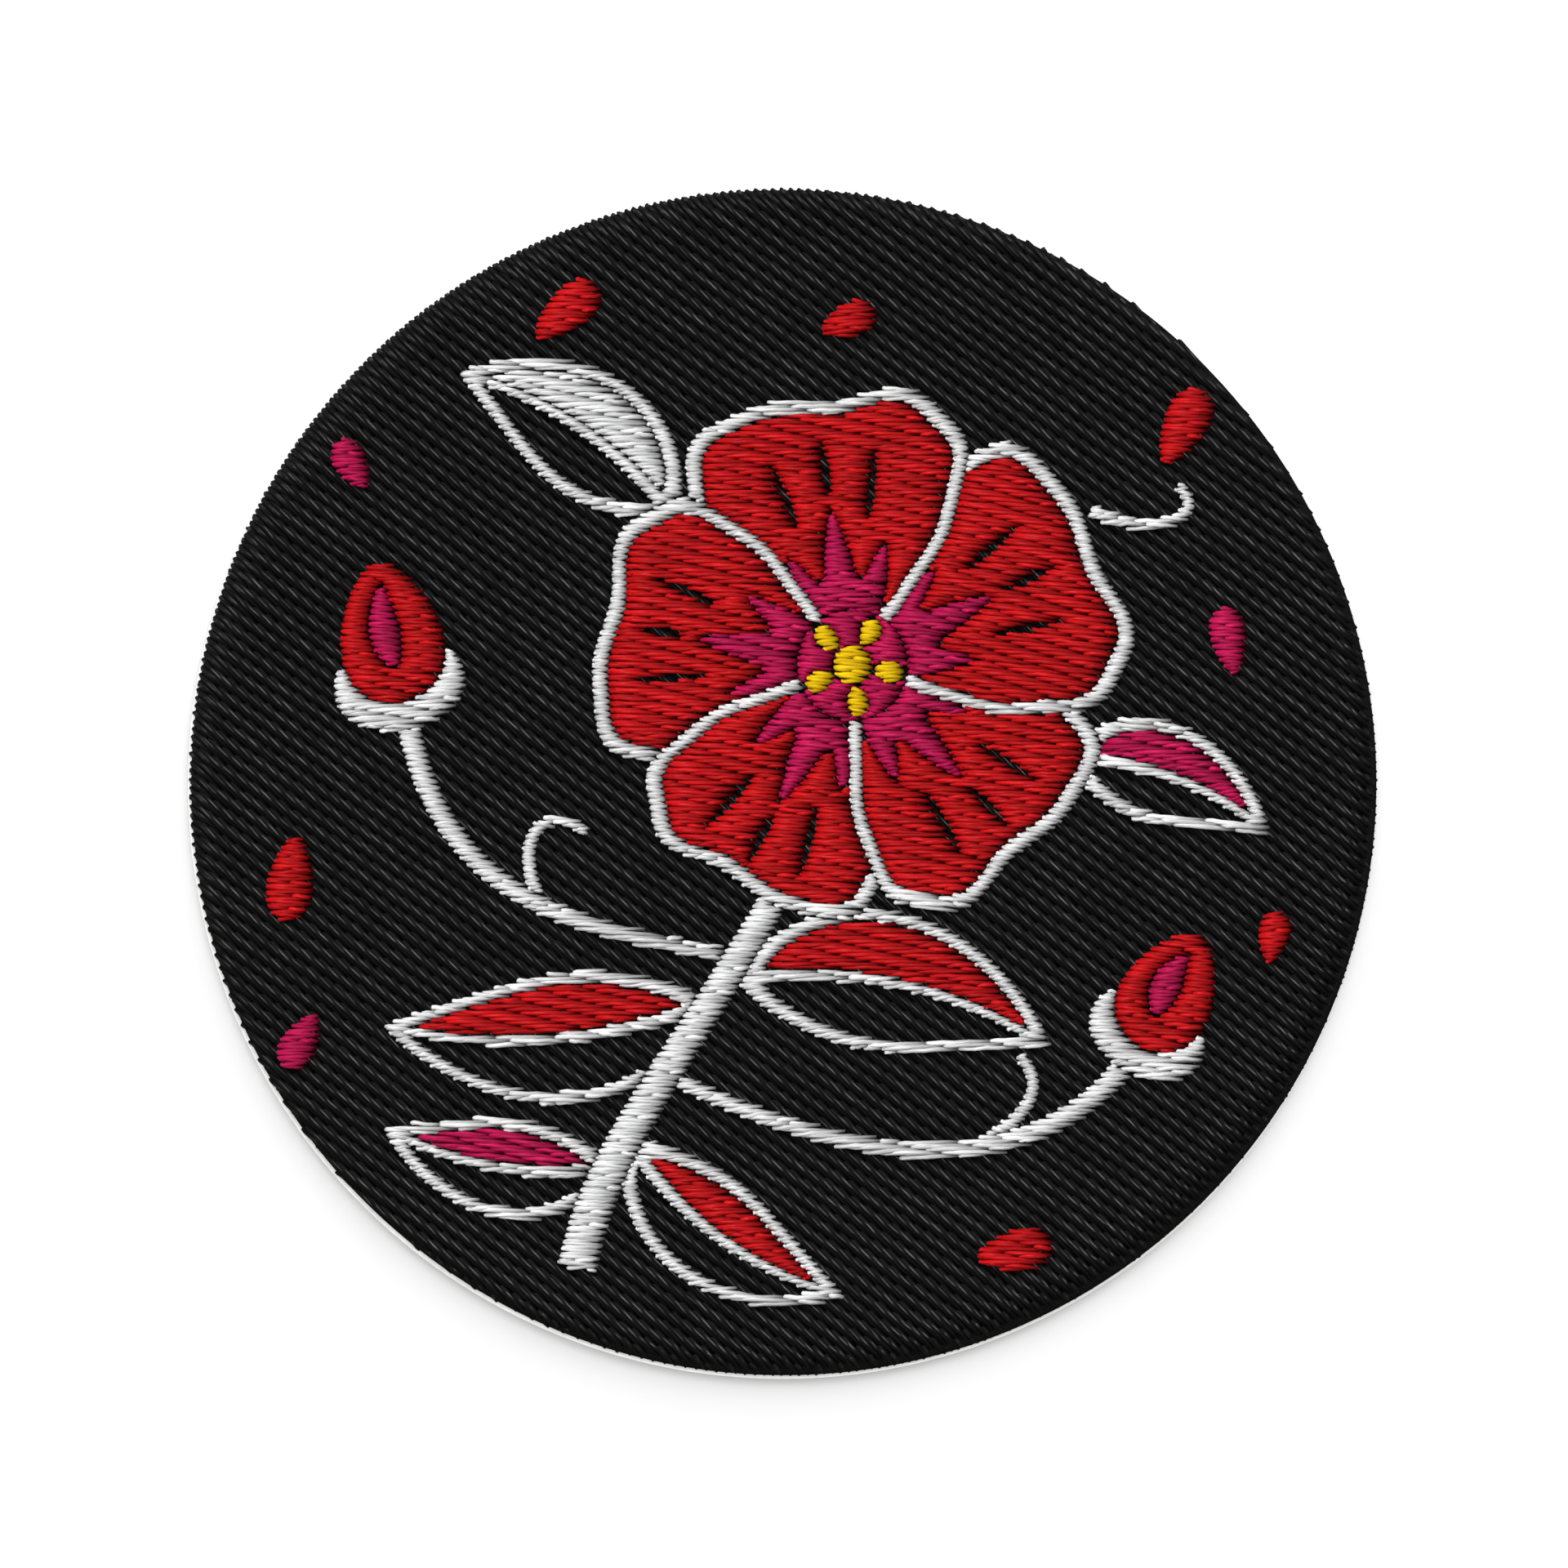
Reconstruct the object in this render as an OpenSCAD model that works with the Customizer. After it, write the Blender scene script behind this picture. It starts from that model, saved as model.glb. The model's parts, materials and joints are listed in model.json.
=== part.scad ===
// Round embroidered clothing patch with a blossom spray, in millimetres.
// It lies on its back: +Z is up through the stitched face and +Y is the top of the design.
// The origin is the middle of the underside.

/* [Patch] */
// Diameter of the stitched face
patch_d = 76.2; // [50:0.1:110]
// Thickness of the pale backing cloth
backing_t = 1.0; // [0.6:0.1:1.6]
// Thickness of the black stitched ground
ground_t = 1.2; // [0.8:0.1:1.8]
// Radius of the rolled rim of the ground
rim_roll = 1.1; // [0.3:0.1:1.8]
// How far the backing sits off the ground's middle
backing_shift = 0.18; // [0:0.02:0.4]
// Direction in which the backing sits off, in degrees
backing_shift_turn = 250; // [0:5:355]
// Air between pieces that lie on each other
lay_gap = 0.05; // [0.03:0.01:0.1]

/* [Relief] */
// Height of a motif pad up to its shoulder
pad_t = 0.35; // [0.2:0.05:0.6]
// Height of the crown above the shoulder
crown_t = 0.2; // [0.1:0.05:0.3]
// How far the crown is set in from the pad's edge
crown_inset = 0.14; // [0.04:0.02:0.16]
// Gap between neighbouring colours
seam = 0.12; // [0.08:0.01:0.2]

/* [Blossom] */
// Width of the white line round a petal
petal_line = 0.85; // [0.7:0.05:1.2]
// Depth of the notch in a petal's tip
petal_notch = 1.3; // [0:0.1:2]
// Swell of the ruffles along a petal's margin
petal_ruffle = 0.22; // [0:0.02:0.3]
// Radius of the crimson eye
eye_r = 3.5; // [3.2:0.1:4]
// Radius of the yellow pistil
pistil_r = 1.2; // [0.8:0.1:1.4]
// Number of yellow stamens round the pistil
stamen_count = 5; // [5:1:5]

/* [Greenery] */
// Width of the white line round a leaf
leaf_line = 0.7; // [0.6:0.05:1]
// Width of a leaf's midrib at its foot
midrib_w = 0.8; // [0.7:0.05:1.1]
// Width of the main stem at its foot
stem_w = 2.4; // [1.6:0.1:3]

/* [Hidden] */
$fn = 96;

// The design is drawn for a patch of this diameter and scales with patch_d.
design_d = 76.2;
fit = patch_d / design_d;

face_r = patch_d / 2;
roll_r = min(rim_roll, ground_t - 0.1);
ground_z = backing_t + lay_gap;
pad_z = ground_z + ground_t + lay_gap;
ground_at = -0.5 * backing_shift * [cos(backing_shift_turn), sin(backing_shift_turn)];

// Points along each kind of outline
petal_steps = 60;
stamen_steps = 20;
bud_steps = 36;
drop_steps = 28;
leaf_steps = 20;
stem_steps = 18;

// How far each egg's fullest part leans towards its tip
petal_skew = 0.42;
stamen_skew = 0.2;
bud_skew = -0.28;
cup_skew = -0.1;
drop_skew = 0.35;
petal_waves = 9;
notch_spread = 24;

// A lens leans towards its foot, and its ends are cut back by this much for each unit of inset.
lens_lean = 0.82;
lens_fullness = 0.85;
lens_tip_cut = 1.7;

// Reach and thinning of a midrib, as shares of the leaf's length and the rib's width
midrib_reach = 0.98;
midrib_taper = 0.5;

// Longer than the whole design, for shapes that cut half a plane away
beyond = 20;

// Columns of a petal row
TURN = 0;
LENGTH = 1;
WIDTH = 2;
blossom_at = [4.5, 7.5];
// Direction, length and width of each petal
petals = [
    [ 98, 17.0, 18.0],
    [170, 16.0, 17.0],
    [242, 15.5, 16.5],
    [314, 16.0, 17.0],
    [ 26, 17.0, 18.0]
];
petal_root = 1.4;
// The tongues grow out of one round foot, which stands this far off the eye.
tongue_foot_at = 0.9;
tongue_foot_r = 1.7;
// Width, first direction and end clearance of the stamens
stamen_w = 1.25;
stamen_turn = 62;
stamen_clear = 2.2 * seam;

// Columns of a tongue or vein row
SWING = 0;
START = 1;
REACH = 2;
BREADTH = 3;
// Swing off the petal's middle, start, length and breadth of each crimson tongue
tongues = [
    [  0, 1.6, 8.4, 1.9],
    [ 23, 1.8, 6.2, 1.6],
    [-23, 1.8, 6.2, 1.6]
];
// The same columns for the black veins that are left open in the red
veins = [
    [  0, 10.9, 3.6, 0.60],
    [ 14,  9.4, 4.6, 0.55],
    [-14,  9.4, 4.6, 0.55]
];

// Columns of a leaf row
FOOT_X = 0;
FOOT_Y = 1;
LEAF_TURN = 2;
LEAF_LENGTH = 3;
LEAF_WIDTH = 4;
BOW = 5;
FILL_SIDE = 6;
FILL_COLOUR = 7;
// Foot, direction, length, width, sideways bow, filled side (1 left, -1 right) and its colour
leaves = [
    [ -4.6, -14.2,  184, 21.0, 8.4,  1.6, -1, "red"],
    [ -2.9, -12.8,  -12, 20.5, 9.0,  2.0,  1, "red"],
    [-10.8, -24.8,  170, 15.0, 6.4,  1.2, -1, "crimson"],
    [ -9.9, -23.0,  -36, 17.0, 7.0, -1.6,  1, "red"],
    [ -7.0,  17.0,  146, 16.5, 8.0, -1.4, -1, "white"],
    [ 18.0,   1.5,  -20, 14.0, 6.6,  1.3,  1, "crimson"]
];

// Columns of a stem row
FROM = 0;
VIA_A = 1;
VIA_B = 2;
TO = 3;
FOOT_W = 4;
HEAD_W = 5;
main_stem = [[-13.2, -31.2], [-11.5, -22], [-4.5, -16], [3.5, 0], stem_w, 1.5];
// Control points and the widths at both ends of each side stem
side_stems = [
    [[-2.8, -11.3], [-10, -9.5], [-22, -9.5], [-24.2, 4.6], 0.8, 1.3],
    [[-7.6, -18.7], [4, -24.5], [16, -26.5], [22.6, -17.4], 0.8, 1.3]
];

// Control points and the widths at both ends of each thin tendril
tendrils = [
    [[-15.4, -7.9], [-17.6, -4.0], [-15.5, -1.0], [-12.6, -3.2], 0.75, 0.55],
    [[11.4, -23.6], [14.8, -22.6], [17.5, -19.8], [15.2, -17.6], 0.75, 0.55],
    [[19.8, 17.4], [24.0, 15.5], [27.5, 17.0], [25.4, 19.0], 0.75, 0.55]
];

// Columns of a bud row
BUD_X = 0;
BUD_Y = 1;
BUD_TURN = 2;
BUD_LENGTH = 3;
BUD_WIDTH = 4;
// Foot, direction, length and width of each bud
buds = [
    [-24.2,   4.0, 100, 10.2, 6.6],
    [ 22.4, -18.0,  62,  9.2, 6.0]
];

// The bud rises this far out of its foot; the cup starts behind it and hugs a share of its length.
bud_rise = 1.2;
cup_back = 0.6;
cup_share = 0.62;
cup_rim_share = 0.40;
cup_swell = 1.7;
// Place, width and bow of the crimson streak on a bud
streak_start = 3.4;
streak_tip_clear = 1.4;
streak_w = 1.9;
streak_bow = 0.35;

// Columns of a drop row
DROP_X = 0;
DROP_Y = 1;
DROP_TURN = 2;
DROP_LENGTH = 3;
DROP_WIDTH = 4;
DROP_COLOUR = 5;
// Foot, direction, length, width and colour of each loose petal
drops = [
    [-15.8,  28.6,  40, 5.0, 2.6, "red"],
    [-26.8,  18.9, 120, 3.4, 2.0, "crimson"],
    [ 24.5,  20.5,  62, 5.2, 2.8, "red"],
    [ 29.0,   7.0, 100, 4.2, 2.2, "crimson"],
    [ 31.2, -11.5,  80, 3.2, 1.9, "red"],
    [-31.2,  -3.5, 262, 5.4, 2.9, "red"],
    [-30.0, -15.0, 240, 3.8, 2.2, "crimson"],
    [ 12.5, -30.5,  10, 4.8, 2.6, "red"],
    [  2.5,  29.0,  20, 3.6, 2.1, "red"]
];

// Outlines. Each one takes an inset, which draws it in by that much all round.

function unit(v) = v / norm(v);
function left_of(v) = [-v.y, v.x];
function reversed(list) = [for (i = [len(list) - 1 : -1 : 0]) list[i]];

// Egg along +X with its narrow end at the root, so that a is 180 at the blunt tip.
function egg_across(a, skew) = sin(a) * (1 - skew * cos(a));
function egg_peak(skew) = max([for (a = [60 : 2 : 150]) egg_across(a, skew)]);
function egg_points(root, length, width, inset, skew, notch, ruffle, steps) = [
    for (i = [0 : steps - 1])
        let (
            a = 360 * i / steps,
            swell = ruffle * sin(a / 2) * sin(petal_waves * a),
            half_length = length / 2 - inset + swell,
            half_width = width / 2 - inset + swell,
            dip = notch * exp(-pow((a - 180) / notch_spread, 2))
        )
        [
            root + length / 2 - half_length * cos(a) - dip,
            half_width * egg_across(a, skew) / egg_peak(skew)
        ]
];

// Lens along +X, pointed at both ends and fullest a little before its middle.
function lens_half(t, width) = width / 2 * pow(sin(180 * pow(t, lens_lean)), lens_fullness);
function bowed(t, length, bow) = [length * t, 4 * bow * t * (1 - t)];
function bowed_dir(t, length, bow) = unit([length, 4 * bow * (1 - 2 * t)]);
function lens_side(length, width, bow, inset, side) =
    let (
        tip = lens_tip_cut * inset,
        span = length - 2 * tip
    ) [
        for (i = [1 : leaf_steps - 1])
            let (
                t = i / leaf_steps,
                whole_t = (tip + span * t) / length,
                half = lens_half(t, width - 2 * inset)
            )
            bowed(whole_t, length, bow) + side * half * left_of(bowed_dir(whole_t, length, bow))
    ];
function lens_points(length, width, bow, inset) =
    let (tip = lens_tip_cut * inset / length) concat(
        [bowed(tip, length, bow)],
        lens_side(length, width, bow, inset, -1),
        [bowed(1 - tip, length, bow)],
        reversed(lens_side(length, width, bow, inset, 1))
    );

// Band along a cubic curve, from its foot width to its head width.
function curve_at(s, t) =
    pow(1 - t, 3) * s[FROM] + 3 * t * pow(1 - t, 2) * s[VIA_A]
    + 3 * t * t * (1 - t) * s[VIA_B] + pow(t, 3) * s[TO];
function curve_dir(s, t) = unit(
    pow(1 - t, 2) * (s[VIA_A] - s[FROM])
    + 2 * t * (1 - t) * (s[VIA_B] - s[VIA_A]) + t * t * (s[TO] - s[VIA_B])
);
function band_side(s, inset, side) = [
    for (i = [0 : stem_steps])
        let (
            t = i / stem_steps,
            half = (s[FOOT_W] + (s[HEAD_W] - s[FOOT_W]) * t) / 2 - inset,
            pull = i == 0 ? inset : i == stem_steps ? -inset : 0
        )
        curve_at(s, t) + pull * curve_dir(s, t) + side * half * left_of(curve_dir(s, t))
];
function band_points(s, inset) =
    concat(band_side(s, inset, -1), reversed(band_side(s, inset, 1)));

// Flat shapes of the design, drawn in by $inset, which pad() sets for each layer.

module petal_place(k) translate(blossom_at) rotate(petals[k][TURN]) children();

module petal_outline(k, inset) petal_place(k)
    polygon(egg_points(petal_root, petals[k][LENGTH], petals[k][WIDTH], inset,
        petal_skew, petal_notch, petal_ruffle, petal_steps));

// What lies over a petal: the next petal round, and the eye.
module over_petal(k, inset) {
    petal_outline((k + 1) % len(petals), -inset - seam);
    translate(blossom_at) circle(eye_r + seam + inset);
}

module sliver(row, inset)
    rotate(row[SWING]) translate([row[START], 0])
        polygon(lens_points(row[REACH], row[BREADTH], 0, inset));

module tongue_flat(k, inset) petal_place(k) {
    for (row = tongues) sliver(row, inset);
    translate([eye_r + tongue_foot_at, 0]) circle(tongue_foot_r - inset);
}

module petal_shade_flat(k) difference() {
    tongue_flat(k, $inset);
    over_petal(k, $inset);
}

module petal_flat(k) difference() {
    petal_outline(k, petal_line + seam + $inset);
    tongue_flat(k, -seam - $inset);
    petal_place(k) for (row = veins) sliver(row, -$inset);
    over_petal(k, $inset);
}

module petal_rim_flat(k) difference() {
    petal_outline(k, $inset);
    petal_outline(k, petal_line - $inset);
    tongue_flat(k, -seam - $inset);
    over_petal(k, $inset);
}

module blossom_outline(inset) {
    for (k = [0 : len(petals) - 1]) petal_outline(k, inset);
    translate(blossom_at) circle(eye_r - inset);
}

module stamen_flat(k, inset)
    translate(blossom_at) rotate(360 * k / stamen_count + stamen_turn)
        polygon(egg_points(pistil_r + stamen_clear, eye_r - pistil_r - 2 * stamen_clear,
            stamen_w, inset, stamen_skew, 0, 0, stamen_steps));

module pistil_flat(inset) translate(blossom_at) circle(pistil_r - inset);

module eye_flat() difference() {
    translate(blossom_at) circle(eye_r - $inset);
    pistil_flat(-seam - $inset);
    for (k = [0 : stamen_count - 1]) stamen_flat(k, -seam - $inset);
}

module stem_outline(inset) polygon(band_points(main_stem, inset));

module stem_flat() difference() {
    stem_outline($inset);
    blossom_outline(-seam - $inset);
}

module side_stem_outline(k, inset) polygon(band_points(side_stems[k], inset));

module side_stem_flat(k) difference() {
    side_stem_outline(k, $inset);
    stem_outline(-seam - $inset);
    bud_cup_outline(k, -seam - $inset);
    bud_outline(k, -seam - $inset);
}

module tendril_flat(k) difference() {
    polygon(band_points(tendrils[k], $inset));
    blossom_outline(-seam - $inset);
    for (j = [0 : len(side_stems) - 1]) side_stem_outline(j, -seam - $inset);
}

module bud_place(k)
    translate([buds[k][BUD_X], buds[k][BUD_Y]]) rotate(buds[k][BUD_TURN]) children();

module bud_outline(k, inset) bud_place(k)
    polygon(egg_points(bud_rise, buds[k][BUD_LENGTH] - bud_rise, buds[k][BUD_WIDTH], inset,
        bud_skew, 0, 0, bud_steps));

module bud_streak(k, inset) bud_place(k)
    translate([streak_start, 0]) polygon(lens_points(
        buds[k][BUD_LENGTH] - streak_start - streak_tip_clear, streak_w, streak_bow, inset));

module bud_cup_outline(k, inset) bud_place(k)
    polygon(egg_points(-cup_back, cup_share * buds[k][BUD_LENGTH],
        buds[k][BUD_WIDTH] + cup_swell, inset, cup_skew, 0, 0, bud_steps));

// The cup is a crescent: the bud rises out of it, and its two horns hug the bud's sides.
module bud_cup_flat(k) difference() {
    bud_cup_outline(k, $inset);
    bud_outline(k, -seam - $inset);
    bud_place(k) translate([cup_rim_share * buds[k][BUD_LENGTH] - $inset, -beyond])
        square(2 * beyond);
}

module bud_shade_flat(k) bud_streak(k, $inset);

module bud_flat(k) difference() {
    bud_outline(k, $inset);
    bud_streak(k, -seam - $inset);
}

module leaf_place(k)
    translate([leaves[k][FOOT_X], leaves[k][FOOT_Y]]) rotate(leaves[k][LEAF_TURN]) children();

module leaf_outline(k, inset) leaf_place(k)
    polygon(lens_points(leaves[k][LEAF_LENGTH], leaves[k][LEAF_WIDTH], leaves[k][BOW], inset));

// The midrib follows the bowed middle of the leaf and thins towards the tip.
function midrib_side(length, bow, inset, side) = [
    for (i = [0 : leaf_steps])
        let (
            t = midrib_reach * i / leaf_steps,
            half = midrib_w / 2 * (1 - midrib_taper * t) - inset
        )
        bowed(t, length, bow) + side * half * left_of(bowed_dir(t, length, bow))
];
function midrib_points(length, bow, inset) =
    concat(midrib_side(length, bow, inset, -1), reversed(midrib_side(length, bow, inset, 1)));

module midrib_flat(k, inset) leaf_place(k)
    polygon(midrib_points(leaves[k][LEAF_LENGTH], leaves[k][BOW], inset));

// What lies over a leaf: the blossom and the stems.
module over_leaf(inset) {
    blossom_outline(-seam - inset);
    stem_outline(-seam - inset);
    for (k = [0 : len(side_stems) - 1]) side_stem_outline(k, -seam - inset);
}

module leaf_rim_flat(k) difference() {
    union() {
        difference() {
            leaf_outline(k, $inset);
            leaf_outline(k, leaf_line - $inset);
        }
        intersection() {
            leaf_outline(k, $inset);
            midrib_flat(k, $inset);
        }
    }
    over_leaf($inset);
}

// Everything on one side of the bowed middle line of a leaf.
module leaf_side(k, side) leaf_place(k)
    polygon(concat(
        [for (i = [-2 : leaf_steps + 2])
            bowed(i / leaf_steps, leaves[k][LEAF_LENGTH], leaves[k][BOW])],
        [[leaves[k][LEAF_LENGTH] + beyond, side * beyond], [-beyond, side * beyond]]
    ));

module leaf_flat(k) difference() {
    intersection() {
        leaf_outline(k, leaf_line + seam + $inset);
        leaf_side(k, leaves[k][FILL_SIDE]);
    }
    midrib_flat(k, -seam - $inset);
    over_leaf($inset);
}

module drop_flat(k)
    translate([drops[k][DROP_X], drops[k][DROP_Y]]) rotate(drops[k][DROP_TURN])
        polygon(egg_points(0, drops[k][DROP_LENGTH], drops[k][DROP_WIDTH], $inset,
            drop_skew, 0, 0, drop_steps));

// Solids

// A stitched pad: a flat body with a crown that is set in all round.
module pad() translate([ground_at.x, ground_at.y, pad_z]) {
    linear_extrude(pad_t + crown_t) scale(fit) let ($inset = crown_inset) children();
    linear_extrude(pad_t) scale(fit) let ($inset = 0) children();
}

module backing() color("gainsboro")
    translate([-ground_at.x, -ground_at.y, 0]) cylinder(h = backing_t, r = face_r);

// The ground is one disc whose top edge rolls over and down to the backing.
module ground() color([0.09, 0.09, 0.09])
    translate([ground_at.x, ground_at.y, ground_z]) rotate_extrude() union() {
        square([face_r - roll_r, ground_t]);
        square([face_r, ground_t - roll_r]);
        translate([face_r - roll_r, ground_t - roll_r]) intersection() {
            circle(roll_r);
            square(roll_r);
        }
    }

// Thread colours by name, as red, green and blue.
function thread_rgb(name) =
    name == "red" ? [0.78, 0.08, 0.10]
    : name == "crimson" ? [0.76, 0.10, 0.32]
    : name == "yellow" ? [0.98, 0.84, 0.06]
    : [0.95, 0.95, 0.95];

module thread(name) color(thread_rgb(name)) pad() children();

backing();
ground();
thread("yellow") pistil_flat($inset);  // pistil
thread("crimson") eye_flat();  // eye
thread("white") stem_flat();  // stem
for (k = [0 : stamen_count - 1])
    thread("yellow") stamen_flat(k, $inset);
for (k = [0 : len(petals) - 1]) {
    thread("red") petal_flat(k);
    thread("crimson") petal_shade_flat(k);
    thread("white") petal_rim_flat(k);
}
for (k = [0 : len(side_stems) - 1])
    thread("white") side_stem_flat(k);
for (k = [0 : len(tendrils) - 1])
    thread("white") tendril_flat(k);
for (k = [0 : len(leaves) - 1]) {
    thread(leaves[k][FILL_COLOUR]) leaf_flat(k);
    thread("white") leaf_rim_flat(k);
}
for (k = [0 : len(buds) - 1]) {
    thread("red") bud_flat(k);
    thread("crimson") bud_shade_flat(k);
    thread("white") bud_cup_flat(k);
}
for (k = [0 : len(drops) - 1])
    thread(drops[k][DROP_COLOUR]) drop_flat(k);
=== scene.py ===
# %% [markdown]
# A round embroidered patch
#
# The real thing is a disc of stiff pale cloth. A machine has covered it with black thread, row beside
# row, and then sewn a raised flower spray on top in red, white, crimson and yellow thread. A painted
# disc could stand for it, but from near by that looks printed. So this script sews every stitch as a
# closed little tube, over the solids of the frame, which give each outline and height.

# %% Load the frame
import math

import bmesh
import bpy
import numpy as np
from mathutils import Matrix, Vector
from mathutils.kdtree import KDTree
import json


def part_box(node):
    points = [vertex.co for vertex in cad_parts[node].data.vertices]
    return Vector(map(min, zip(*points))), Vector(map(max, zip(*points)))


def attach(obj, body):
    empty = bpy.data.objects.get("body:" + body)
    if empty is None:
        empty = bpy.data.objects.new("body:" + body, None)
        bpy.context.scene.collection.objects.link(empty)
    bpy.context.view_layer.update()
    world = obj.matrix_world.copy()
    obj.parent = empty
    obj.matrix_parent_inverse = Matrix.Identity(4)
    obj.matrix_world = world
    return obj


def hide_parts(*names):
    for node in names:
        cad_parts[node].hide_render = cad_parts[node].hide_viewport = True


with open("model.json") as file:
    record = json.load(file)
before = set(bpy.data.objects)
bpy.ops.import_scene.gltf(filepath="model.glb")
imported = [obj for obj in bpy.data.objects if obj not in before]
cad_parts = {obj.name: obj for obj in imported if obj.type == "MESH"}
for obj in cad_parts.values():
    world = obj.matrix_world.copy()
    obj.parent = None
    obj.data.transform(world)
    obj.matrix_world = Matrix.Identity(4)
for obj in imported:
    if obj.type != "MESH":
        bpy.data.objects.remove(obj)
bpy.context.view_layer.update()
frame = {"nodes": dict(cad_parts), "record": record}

MM = 0.001
slots = {part["node"]: part["material_slot"] for part in frame["record"]["subparts"]}

# %% [markdown]
# Camera
#
# The photograph looks straight down on the patch, with hardly any perspective. An orthographic camera
# could do that, but a camera far above with a long lens keeps the trace of depth that a real one has.
# Its width of view comes from the rim's radius in the photograph, and its place from the middle of the
# rim there.

# %% Camera straight above
PHOTO_SIDE = 1920
RIM_CENTRE_PX = (958.9, 957.5)
RIM_RADIUS_PX = 726.6
CAMERA_HEIGHT = 1.5
CLIP_NEAR = 0.01
CLIP_FAR = 20.0
SENSOR_MM = 36.0

ground_low, ground_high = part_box("ground")
patch_middle = (ground_low + ground_high) / 2
patch_radius = (ground_high.x - ground_low.x) / 2
pixel = patch_radius / RIM_RADIUS_PX

optics = bpy.data.cameras.new("camera")
optics.sensor_width = SENSOR_MM
optics.lens = SENSOR_MM * (CAMERA_HEIGHT - patch_middle.z) / (PHOTO_SIDE * pixel)
optics.clip_start = CLIP_NEAR
optics.clip_end = CLIP_FAR
camera = bpy.data.objects.new("camera", optics)
camera.location = (
    patch_middle.x + (PHOTO_SIDE / 2 - RIM_CENTRE_PX[0]) * pixel,
    patch_middle.y - (PHOTO_SIDE / 2 - RIM_CENTRE_PX[1]) * pixel,
    CAMERA_HEIGHT,
)
bpy.context.scene.collection.objects.link(camera)
bpy.context.scene.camera = camera
print("lens in mm:", round(optics.lens, 1), "pixels in a mm:", round(MM / pixel, 2))

# %% [markdown]
# Shader maths
#
# The look of a surface is a small network of nodes. Wired by hand in an editor it can't be repeated,
# and wired line by line it takes long code. So one class makes a material and adds a node to it by one
# call, which takes the node's type, its settings and what goes into its sockets.


# %% Finish
class Finish:
    """A new material with one Principled shader, whose nodes are added by calls."""

    def __init__(self, name, constants):
        self.material = bpy.data.materials.new(name)
        self.material.use_nodes = True
        self.tree = self.material.node_tree
        self.shader = self.tree.nodes["Principled BSDF"]
        for socket, value in constants.items():
            self.shader.inputs[socket].default_value = value

    def feed(self, socket, value):
        """Links a wire to the socket, or sets it to a value."""
        if isinstance(value, Wire):
            self.tree.links.new(value.socket, socket)
        else:
            socket.default_value = value

    def node(self, kind, settings=None, inputs=None, output=0):
        """The output of a new node, after its settings and its sockets are set."""
        made = self.tree.nodes.new(kind)
        for name, value in (settings or {}).items():
            setattr(made, name, value)
        for name, value in (inputs or {}).items():
            self.feed(made.inputs[name], value)
        return Wire(self, made.outputs[output])

    def wear(self, socket, value):
        """Gives a value or a wire to a socket of the shader."""
        self.feed(self.shader.inputs[socket], value)


print("calls of a finish:", [name for name in vars(Finish) if not name.startswith("_")])

# %% [markdown]
# Sums on nodes
#
# How bright or glossy a thread is at a point is a sum, and each step of such a sum is a Math node.
# Adding those one by one would hide the sum. So a second class wraps a node's output, and plain
# arithmetic on it adds the nodes, also where a number stands first, as in 1 - mask.


# %% Wire
class Wire:
    """One output of a node. Arithmetic on it adds Math nodes."""

    def __init__(self, finish, socket):
        self.finish = finish
        self.socket = socket

    def reckon(self, operation, first, second=0.0, clamp=False):
        """A Math node on two values or wires."""
        return self.finish.node(
            "ShaderNodeMath", {"operation": operation, "use_clamp": clamp}, {0: first, 1: second}
        )

    def __add__(self, other):
        return self.reckon("ADD", self, other)

    __radd__ = __add__

    def __sub__(self, other):
        return self.reckon("SUBTRACT", self, other)

    def __rsub__(self, other):
        return self.reckon("SUBTRACT", other, self)

    def __mul__(self, other):
        return self.reckon("MULTIPLY", self, other)

    __rmul__ = __mul__

    def __pow__(self, other):
        return self.reckon("POWER", self, other)

    def __rpow__(self, other):
        return self.reckon("POWER", other, self)

    def clamped(self):
        """The same value, kept between 0 and 1."""
        return self.reckon("ADD", self, 0.0, clamp=True)


print("reflected operators of a wire:", sorted(name for name in vars(Wire) if name.startswith("__r")))

# %% [markdown]
# A colour between two
#
# Thread and cloth are never one flat colour, but go from a shade to a light. A Math node would turn
# colours grey, so a Mix node blends the two.

# %% A colour between two
# A Mix node has sockets for numbers, vectors and colours. These are the places of the ones for colours.
MIX_AMOUNT, MIX_LOW, MIX_HIGH, MIX_COLOUR = 0, 6, 7, 2


def blend_colours(finish, amount, low, high):
    """A colour between two."""
    ends = {MIX_AMOUNT: amount, MIX_LOW: low, MIX_HIGH: high}
    return finish.node("ShaderNodeMix", {"data_type": "RGBA"}, ends, output=MIX_COLOUR)


print("colour sockets of a Mix node:", MIX_LOW, "and", MIX_HIGH, "in,", MIX_COLOUR, "out")
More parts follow.
